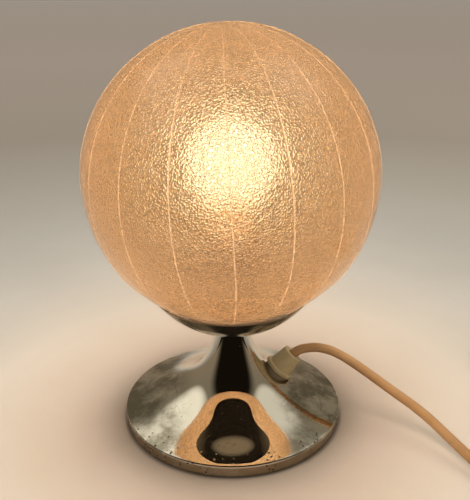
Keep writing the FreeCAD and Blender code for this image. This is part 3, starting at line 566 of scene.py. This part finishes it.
# %% Dish
def dish_outline():
    inner_r = DISH_R - DISH_WALL
    seat = math.degrees(math.asin(DISH_SEAT_R / DISH_R))
    rim = math.degrees(math.asin(DISH_RIM_R / DISH_R))
    floor = math.degrees(math.acos((DISH_Z - FOOT_TOP - DISH_WALL) / inner_r))
    middle = (0, DISH_Z)
    outer = arc_points(middle, DISH_R, seat - 90, rim - 90, 48)
    inner = arc_points(middle, inner_r, rim - 90, floor - 90, 40)
    half = DISH_WALL / 2
    rim_turn = math.radians(rim - 90)
    rim_middle = ((DISH_R - half) * math.cos(rim_turn), DISH_Z + (DISH_R - half) * math.sin(rim_turn))
    edge = arc_points(rim_middle, half, rim - 90, rim + 90, 8)[1:-1]
    return [(STEM_HOLE, outer[0][1])] + outer + edge + inner + [(STEM_HOLE, inner[-1][1])]


dish = turned("dish_bowl", dish_outline(), "lamp_base")
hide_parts("dish")
print("dish faces", len(dish.data.polygons))

# %% [markdown]
# ## Old chrome
#
# Chrome plating is nearly a mirror. Age takes that away in patches: a dull film with ringed stains on the
# flanks, fine wipe marks, a rubbed band at the rim, and pits and rust where the plating broke. Film, rim
# and spots change both the colour and the roughness. The spots are cells of a Voronoi texture, and a slow
# noise decides where they gather.

# %% Chrome
def old_chrome(name, plating_and_painted_shade, haze, dust, shift, rim_height):
    """Chrome with dull films and stains on its flanks, fine wipe marks, pits and specks of rust."""
    finish = Finish(name)
    across = finish.axis("X")
    flank = (across * across).rise(0.0006, 0.0022)
    clouds = finish.noise(38, detail=5, rough=0.66, shift=shift).rise(0.38, 0.64)
    stain = finish.noise(22, detail=3, rough=0.55, shift=shift, warp=0.6)
    outline = stain.rise(0.535, 0.548) * (1 - stain.rise(0.548, 0.561))
    film = flank * (clouds + outline * 0.4).at_most(1.0)
    wipes = finish.noise(420, detail=3, stretch=(1, 1, 0.05), shift=shift).rise(0.45, 0.75)
    rim = 1 - finish.axis("Z").rise(rim_height - 0.0003, rim_height)
    low = 1 - finish.axis("Z").rise(rim_height, rim_height * 2.2)
    rust = finish.specks(260, 0.24, shift) * finish.noise(45, shift=shift).rise(0.46, 0.56) * low
    scatter = finish.specks(210, 0.085, shift) * finish.noise(30, shift=shift).rise(0.43, 0.53)
    spots = rust.at_least(scatter * 0.9).at_most(1.0)
    dull = rim * 0.13 + film * haze + wipes * 0.012 + 0.012
    # For the dish this plating colour is darkened as painted shade.
    tarnish = film.paint(plating_and_painted_shade, tone(158, 152, 136))
    worn = (rim * (clouds * 0.3 + 0.7)).paint(tarnish, tone(166, 148, 122))
    colour = spots.paint(worn, tone(52, 36, 25))
    dents = finish.noise(26, detail=1, shift=shift)
    normal = finish.bump(1 - spots, 0.00003, finish.bump(dents, 0.00006))
    return finish.finish(finish.principled(
        Base_Color=colour, Metallic=1 - dust, Roughness=dull + spots * 0.45, Normal=normal))


foot.data.materials.append(old_chrome("foot_chrome", tone(240, 234, 222), 0.14, 0.0, (0.3, 0.1, 0.0), 0.0079))
# The dish's plating tone is darker and browner than the foot's; that darkness is painted shade.
dish.data.materials.append(old_chrome("dish_chrome", tone(168, 154, 131), 0.07, 0.06, (0.7, 0.2, 0.4), 0.001))
print("chrome on the foot and the dish")

# %% [markdown]
# ## The glass globe
#
# The globe was made in a mould. The mould gave it 18 thin raised seams, like the lines of longitude on a
# map, and a skin that is pebbled like ice. The seams are real relief in the mesh, so the columns of the
# mesh crowd together at each seam and spread out between them. The pebbles are about a millimetre high at
# most, and they are left to the finish.
#
# The ball sits a little crooked in its mould marks: the seams meet some degrees off the top. The turn
# fades out towards the neck.

# %% Globe mesh
GLOBE_R = 0.1
GLOBE_Z = 0.1844
GLASS = 0.003
NECK_R = 0.039
NECK_JOIN_Z = 0.0915
NECK_END_Z = 0.0885
NECK_EDGE = 0.0006
SEAMS = 18
SEAM_RISE = 0.0003
SEAM_SHIFT = 0.33
SEAM_TILT = (1.1, -2.7)
TILT_START_Z = 0.095
TILT_RISE = 0.05
SEAM_COLUMNS = (
    (0.0, 1.0), (0.13, 0.78), (0.24, 0.38), (0.36, 0.08), (0.5, 0.0), (1.2, 0.0), (2.6, 0.0), (4.4, 0.0),
    (6.6, 0.0), (8.8, 0.0), (11.2, 0.0), (13.4, 0.0), (15.6, 0.0), (17.4, 0.0), (18.8, 0.0),
    (19.5, 0.0), (19.64, 0.08), (19.76, 0.38), (19.87, 0.78))


def globe_rows():
    """Rows of (radius, height): the outside from the top down, the neck, and the inside back up."""
    skin = GLOBE_R - SEAM_RISE
    inside = GLOBE_R - GLASS
    neck_in = NECK_R - GLASS
    middle = (0, GLOBE_Z)
    outer_end = -math.degrees(math.acos(NECK_R / skin))
    inner_end = -math.degrees(math.acos(neck_in / inside))
    outer = arc_points(middle, skin, 89.2, outer_end, 150)
    inner = arc_points(middle, inside, inner_end, 88.5, 84)
    end = NECK_END_Z + NECK_EDGE
    neck = [(NECK_R, NECK_JOIN_Z), (NECK_R, end), (NECK_R - NECK_EDGE, NECK_END_Z)]
    neck_inside = [(neck_in + NECK_EDGE, NECK_END_Z), (neck_in, end), (neck_in, NECK_JOIN_Z)]
    return outer, neck, neck_inside, inner


def seam_turn(height):
    """The turn of the seams at a height: full over most of the ball, none at the neck."""
    fade = min(1.0, max(0.0, (height - TILT_START_Z) / TILT_RISE))
    tilt_x, tilt_y = SEAM_TILT
    return Matrix.Rotation(math.radians(tilt_x * fade), 3, "X") @ Matrix.Rotation(
        math.radians(tilt_y * fade), 3, "Y")


def globe_points():
    outer, neck, neck_inside, inner = globe_rows()
    columns = [
        (math.radians(-90 + SEAM_SHIFT + 360 / SEAMS * seam + turn), share)
        for seam in range(SEAMS) for turn, share in SEAM_COLUMNS]
    middle = Vector((0, 0, GLOBE_Z))
    rows = []
    for number, (r, z) in enumerate(outer + neck + neck_inside + inner):
        on_skin = number < len(outer)
        fade = min(1.0, r / 0.016) * min(1.0, max(0.0, (z - 0.096) / 0.008)) if on_skin else 0.0
        turn = seam_turn(z) if on_skin else Matrix.Identity(3)
        row = []
        for angle, share in columns:
            point = Vector((r * math.cos(angle), r * math.sin(angle), z)) - middle
            point *= 1 + SEAM_RISE * share * fade / point.length
            row.append(turn @ point + middle)
        rows.append(row)
    return rows, len(outer) + len(neck)


def make_globe():
    rows, outside_rows = globe_points()
    shape = bmesh.new()
    grid = [[shape.verts.new(point) for point in row] for row in rows]
    count = len(grid[0])
    for number, (upper, lower) in enumerate(zip(grid, grid[1:])):
        for k in range(count):
            after = (k + 1) % count
            face = shape.faces.new((upper[k], upper[after], lower[after], lower[k]))
            seam = SEAM_COLUMNS[k % len(SEAM_COLUMNS)][1] + SEAM_COLUMNS[after % len(SEAM_COLUMNS)][1]
            face.material_index = 1 if number >= outside_rows else 2 if seam > 1.1 else 0
    for row, side in ((grid[0], 0), (grid[-1], 1)):
        face = shape.faces.new(row)
        face.material_index = side
    bmesh.ops.recalc_face_normals(shape, faces=shape.faces)
    for face in shape.faces:
        face.smooth = True
    mesh = bpy.data.meshes.new("globe_ball")
    shape.to_mesh(mesh)
    shape.free()
    globe = bpy.data.objects.new("globe_ball", mesh)
    bpy.context.scene.collection.objects.link(globe)
    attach(globe, "globe_body")
    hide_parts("globe")
    return globe


globe = make_globe()
print("globe faces", len(globe.data.polygons))

# %% [markdown]
# ## Pebbled glass over a milky lining
#
# Two layers give the lit globe its look. The outside is clear amber glass with a faint ripple. The inside
# carries the pebbles, and it is a mix of clear amber glass and a milky layer. The clear part has steep and
# gentle pebbles at once: the steep ones break the bright bulb up into short ripples, and the gentle ones
# keep a core of it in sight. The milk spreads the light over the ball, more of it towards the edge and low
# down, and less on the top of each pebble.

# %% Globe glass
PEBBLE_SCALE = 780
STEEP_PEBBLE = 0.0012
GENTLE_PEBBLE = 0.0003
GENTLE_SHARE = 0.52
GLASS_IOR = 1.45


def globe_skin():
    finish = Finish("globe_skin")
    ripple = finish.noise(260, detail=2)
    return finish.finish(finish.principled(
        Base_Color=(0.98, 0.91, 0.78), Roughness=0.08, IOR=GLASS_IOR, Transmission_Weight=1.0,
        Normal=finish.bump(ripple, 0.0004)))


def globe_seam():
    """The raised seams are smoother than the skin and catch the light as thin pale lines."""
    finish = Finish("globe_seam")
    grain = finish.noise(400, detail=3).rise(0.35, 0.65)
    pale = finish.node("BsdfTranslucent", None, {"Color": (0.30, 0.195, 0.105)})
    glass = finish.principled(
        Base_Color=(0.97, 0.88, 0.72), Roughness=0.1, IOR=GLASS_IOR, Transmission_Weight=1.0)
    return finish.finish(finish.node("MixShader", None, {0: grain * 0.3 + 0.45, 1: glass, 2: pale}))


def globe_lining():
    finish = Finish("globe_lining")
    pebbles = finish.noise(PEBBLE_SCALE, detail=1.0, warp=0.3).rise(0.35, 0.65)
    normal = finish.bump(pebbles, STEEP_PEBBLE)
    milk = finish.node("BsdfTranslucent", None, {"Color": (0.272, 0.152, 0.066), "Normal": normal})
    amber = {"Base_Color": (0.97, 0.91, 0.60), "IOR": GLASS_IOR, "Transmission_Weight": 1.0}
    steep = finish.principled(Roughness=0.22, Normal=normal, **amber)
    gentle = finish.principled(Roughness=0.12, Normal=finish.bump(pebbles, GENTLE_PEBBLE), **amber)
    clear = finish.node("MixShader", None, {0: GENTLE_SHARE, 1: steep, 2: gentle})
    edge = finish.node("LayerWeight", None, {"Blend": 0.5}, output="Facing")
    low = 1 - finish.axis("Z").rise(0.095, 0.165)
    share = edge.power(1.2) * 0.52 + low * 0.25 + 0.46 - pebbles * 0.3
    return finish.finish(finish.node("MixShader", None, {0: share, 1: clear, 2: milk}))


for material in (globe_skin(), globe_lining(), globe_seam()):
    globe.data.materials.append(material)
globe.visible_shadow = False
print("globe glass", [material.name for material in globe.data.materials])

# %% [markdown]
# ## The lit bulb
#
# The glass of the bulb is the bright thing that is seen through the globe, so it glows by itself. A
# point light in its middle does the lighting, because that gives a clean picture faster than a glowing
# mesh. The camera, the chrome and the glass don't see that light, so every glint comes from the bulb's
# glass. The point light rides on the bulb, so it goes along when the bulb is unscrewed.

# %% Bulb
def dress(material, *names):
    for name in names:
        for place in NODES[name].material_slots:
            place.material = material


def glowing_glass():
    finish = Finish("bulb_glass")
    hot = finish.axis("Z").rise(0.158, 0.184)
    cloud = finish.noise(55, detail=2).rise(0.25, 0.75)
    glow = (hot * (cloud * 0.1 + 0.9)).paint(tone(150, 90, 40), (1.0, 0.88, 0.67))
    return finish.finish(finish.principled(
        Base_Color=(0.95, 0.93, 0.88), Roughness=0.4, Emission_Color=glow, Emission_Strength=2.6))


dress(glowing_glass(), "bulb_glass")
NODES["bulb_glass"].visible_shadow = False

LAMP_PLACE = (0, 0, 0.1935)
LAMP_POWER = 1.9
LAMP_SOFTNESS = 0.05
lamp_data = bpy.data.lights.new("lamp_light", "POINT")
lamp_data.energy = LAMP_POWER
lamp_data.color = (1.0, 0.90, 0.87)
lamp_data.shadow_soft_size = LAMP_SOFTNESS
lamp_data.cycles.use_multiple_importance_sampling = False
lamp_light = bpy.data.objects.new("lamp_light", lamp_data)
lamp_light.location = LAMP_PLACE
lamp_light.visible_camera = False
lamp_light.visible_transmission = False
lamp_light.visible_glossy = False
bpy.context.scene.collection.objects.link(lamp_light)
lamp_light.parent = frame["bodies"]["bulb_body"]
print("lamp light at", LAMP_PLACE)

# %% [markdown]
# ## Steel and brass parts
#
# Most of the hidden ironwork is pressed or turned steel with a thin zinc coat. Zinc looks like faint
# frost, with soft patches of two greys. One function makes all of these metals. A threaded tube gets its
# thread as a bump of even rings up its length.

# %% Plated and plain metals
def worked_metal(name, light, dark, rough, rings=0.0):
    finish = Finish(name)
    patches = finish.noise(140, detail=4, rough=0.6).rise(0.38, 0.62)
    scratch = finish.noise(700, detail=3, stretch=(1, 0.15, 1)).rise(0.4, 0.7)
    grain = finish.noise(1600, detail=1)
    stains = finish.noise(70, detail=3, shift=(0.2, 0.5, 0.1)).rise(0.58, 0.75)
    colour = (stains * 0.6).paint((patches * 0.7).paint(light, dark), tone(88, 74, 58))
    height = grain * 0.15 + scratch * 0.1
    if rings:
        height = height + (finish.axis("Z") * (2 * math.pi / rings)).wave() * 0.5
    return finish.finish(finish.principled(
        Base_Color=colour, Metallic=1.0, Roughness=patches * 0.12 + stains * 0.2 + rough,
        Normal=finish.bump(height, 0.00025 if rings else 0.00006)))


dress(worked_metal("nut_steel", tone(202, 199, 190), tone(160, 156, 146), 0.28),
      "base_washer", "base_nut", "weight_nut", "dish_washer", "dish_nut", "plate_nut")
dress(worked_metal("stem_steel", tone(200, 194, 178), tone(158, 150, 132), 0.25, rings=0.001), "stem_tube")
dress(worked_metal("screw_steel", tone(206, 204, 200), tone(168, 166, 160), 0.22),
      "cover_screws", "spring_rivets", "switch_screws")
dress(worked_metal("plate_steel", tone(205, 203, 198), tone(172, 170, 165), 0.32), "carrier_plate")
dress(worked_metal("spring_steel", tone(180, 182, 186), tone(140, 140, 146), 0.2),
      "globe_spring_1", "globe_spring_2", "globe_spring_3")
dress(worked_metal("wire_steel", tone(196, 194, 188), tone(150, 148, 142), 0.3), "bulb_wires")
dress(worked_metal("contact_brass", tone(222, 190, 110), tone(176, 140, 74), 0.25),
      "screw_shell", "centre_contact", "terminal_screws", "switch_terminals")
dress(worked_metal("cap_brass", tone(226, 214, 178), tone(188, 172, 130), 0.22), "bulb_cap")
dress(worked_metal("pin_brass", tone(214, 208, 192), tone(178, 168, 142), 0.16), "plug_pins")
dress(worked_metal("solder_tin", tone(190, 190, 190), tone(150, 150, 152), 0.35), "bulb_contact")
print("metals dressed")

# %% [markdown]
# ## Cast weight, enamelled cover and felt
#
# The weight is rough grey iron with a trace of rust. The cover under it is sheet steel with black enamel,
# and its felt ring keeps the lamp from scratching the table. Felt has no weave: it is a mat of short
# fibres, so its bump is a tangle of fine noise in two directions, with a soft sheen.

# %% Cast iron, enamel and felt
def cast_iron():
    finish = Finish("weight_iron")
    sand = finish.noise(520, detail=5, rough=0.7)
    rust = finish.noise(45, detail=6, rough=0.65).rise(0.5, 0.68)
    colour = (rust * 0.75).paint((sand * 0.6).paint(tone(86, 83, 79), tone(122, 118, 112)), tone(112, 66, 38))
    return finish.finish(finish.principled(
        Base_Color=colour, Metallic=0.8 - rust * 0.7, Roughness=rust * 0.25 + 0.55,
        Normal=finish.bump(sand, 0.0006)))


def black_enamel():
    finish = Finish("cover_paint")
    peel = finish.noise(260, detail=2)
    dust = finish.noise(90, detail=5).rise(0.52, 0.75)
    return finish.finish(finish.principled(
        Base_Color=(dust * 0.5).paint(tone(26, 25, 24), tone(70, 66, 60)),
        Roughness=dust * 0.3 + 0.22, Normal=finish.bump(peel, 0.00012)))


def felt(name, colour, worn):
    finish = Finish(name)
    across = finish.noise(1500, detail=3, stretch=(1, 0.2, 1))
    along = finish.noise(1500, detail=3, stretch=(0.2, 1, 1), shift=(0.4, 0, 0))
    mat = across.at_least(along)
    tufts = finish.noise(180, detail=3).rise(0.35, 0.7)
    shade = (mat.rise(0.35, 0.75) * 0.6).paint(colour, worn)
    return finish.finish(finish.principled(
        Base_Color=(tufts * 0.3).paint(shade, worn), Roughness=0.95, Sheen_Weight=0.5,
        Sheen_Roughness=0.4, Normal=finish.bump(mat, 0.0005)))


dress(cast_iron(), "foot_weight")
dress(black_enamel(), "foot_cover")
dress(felt("felt", tone(58, 96, 72), tone(92, 128, 102)), "felt_ring")
dress(felt("seat_felt", tone(72, 66, 58), tone(106, 98, 86)), "globe_seat")
print("weight, cover and felt dressed")

# %% [markdown]
# ## Moulded parts
#
# The lampholder is dark brown phenolic, pressed hot and shiny, with a faint marbling where the powder
# flowed. The gland, the switch and the plug are a softer beige plastic that has yellowed and taken dust.
# A fine noise in the bump is the grain of the mould.

# %% Plastics, ceramic and rubber
def moulded(name, colour, aged, rough, grain=0.00008, marble=30):
    finish = Finish(name)
    flow = finish.noise(marble, detail=5, rough=0.6, warp=1.2).rise(0.35, 0.68)
    dust = finish.noise(210, detail=4, shift=(0.1, 0.7, 0.3)).rise(0.5, 0.8)
    specks = finish.specks(420, 0.12) * finish.noise(80).rise(0.5, 0.6)
    mould = finish.noise(1500, detail=2)
    shade = (specks * 0.35).paint((flow * 0.55).paint(colour, aged), tone(70, 58, 44))
    return finish.finish(finish.principled(
        Base_Color=(dust * 0.25).paint(shade, tone(150, 138, 120)),
        Roughness=dust * 0.18 + flow * 0.06 + rough, Normal=finish.bump(mould, grain)))


BEIGE = tone(196, 178, 138)
BEIGE_AGED = tone(170, 148, 104)
dress(moulded("holder_phenolic", tone(58, 34, 22), tone(36, 22, 16), 0.22), "holder_cap", "holder_skirt")
dress(moulded("holder_ceramic", tone(238, 234, 222), tone(222, 214, 198), 0.5, grain=0.0002), "holder_block")
dress(moulded("black_glass", tone(22, 22, 26), tone(34, 32, 36), 0.12), "bulb_insulator")
dress(moulded("gland_plastic", tone(184, 162, 116), tone(150, 130, 90), 0.42), "gland_body", "gland_nut")
dress(moulded("gland_rubber", tone(136, 116, 86), tone(112, 94, 68), 0.62, grain=0.0003), "gland_washer")
dress(moulded("core_brown", tone(112, 70, 42), tone(92, 56, 34), 0.4), "live_core", "switch_cores")
dress(moulded("core_blue", tone(48, 84, 150), tone(38, 66, 120), 0.4), "neutral_core")
dress(moulded("switch_plastic", BEIGE, BEIGE_AGED, 0.38), "switch_lower", "switch_upper")
dress(moulded("rocker_plastic", tone(184, 164, 122), tone(160, 138, 96), 0.25), "switch_rocker")
dress(moulded("tie_plastic", tone(226, 222, 210), tone(206, 198, 180), 0.45), "coil_ties")
dress(moulded("plug_plastic", BEIGE, BEIGE_AGED, 0.4), "plug_body")
dress(moulded("sleeve_plastic", tone(172, 160, 132), tone(150, 136, 106), 0.45), "plug_sleeves")
print("plastics dressed")

# %% [markdown]
# ## The sheath of the lead
#
# The sheath is soft PVC. It has gone a little darker and browner with age, unevenly along its length,
# and it has picked up dull smears. Its surface is not quite smooth: the twist of the two cores inside
# shows as a slow swelling.

# %% Lead finish
def lead_sheath():
    finish = Finish("lead_pvc")
    age = finish.noise(16, detail=3).rise(0.3, 0.7)
    smears = finish.noise(120, detail=5, rough=0.65, warp=0.8).rise(0.5, 0.75)
    swell = finish.noise(70, detail=1)
    skin = finish.noise(1300, detail=2)
    colour = age.paint(tone(184, 141, 92), tone(162, 119, 73))
    return finish.finish(finish.principled(
        Base_Color=(smears * 0.4).paint(colour, tone(140, 116, 82)),
        Roughness=smears * 0.25 + 0.36, Normal=finish.bump(swell + skin * 0.05, 0.0006)))


sheath = lead_sheath()
for lead in (lead_to_switch, lead_to_plug):
    lead.data.materials.append(sheath)
dress(sheath, "lead_tail")
print("lead sheathed")

# %% [markdown]
# ## The small glass and the filament
#
# Inside the bulb a clear glass stem holds two wires with the filament between them. The filament is the
# hottest part, so it glows stronger than the glass round it.

# %% Bulb stem and filament
def clear_stem():
    finish = Finish("clear_glass")
    ripple = finish.noise(160, detail=1)
    return finish.finish(finish.principled(
        Base_Color=(0.92, 0.95, 0.92), Roughness=0.03, IOR=1.5, Transmission_Weight=1.0,
        Normal=finish.bump(ripple, 0.0003)))


def hot_filament():
    finish = Finish("filament")
    coil = finish.noise(900, detail=1).rise(0.3, 0.7)
    return finish.finish(finish.principled(
        Base_Color=tone(90, 84, 78), Metallic=1.0, Roughness=0.5,
        Emission_Color=coil.paint((1.0, 0.7, 0.35), (1.0, 0.85, 0.55)), Emission_Strength=30.0))


dress(clear_stem(), "bulb_mount")
dress(hot_filament(), "filament")
print("bulb stem and filament dressed")
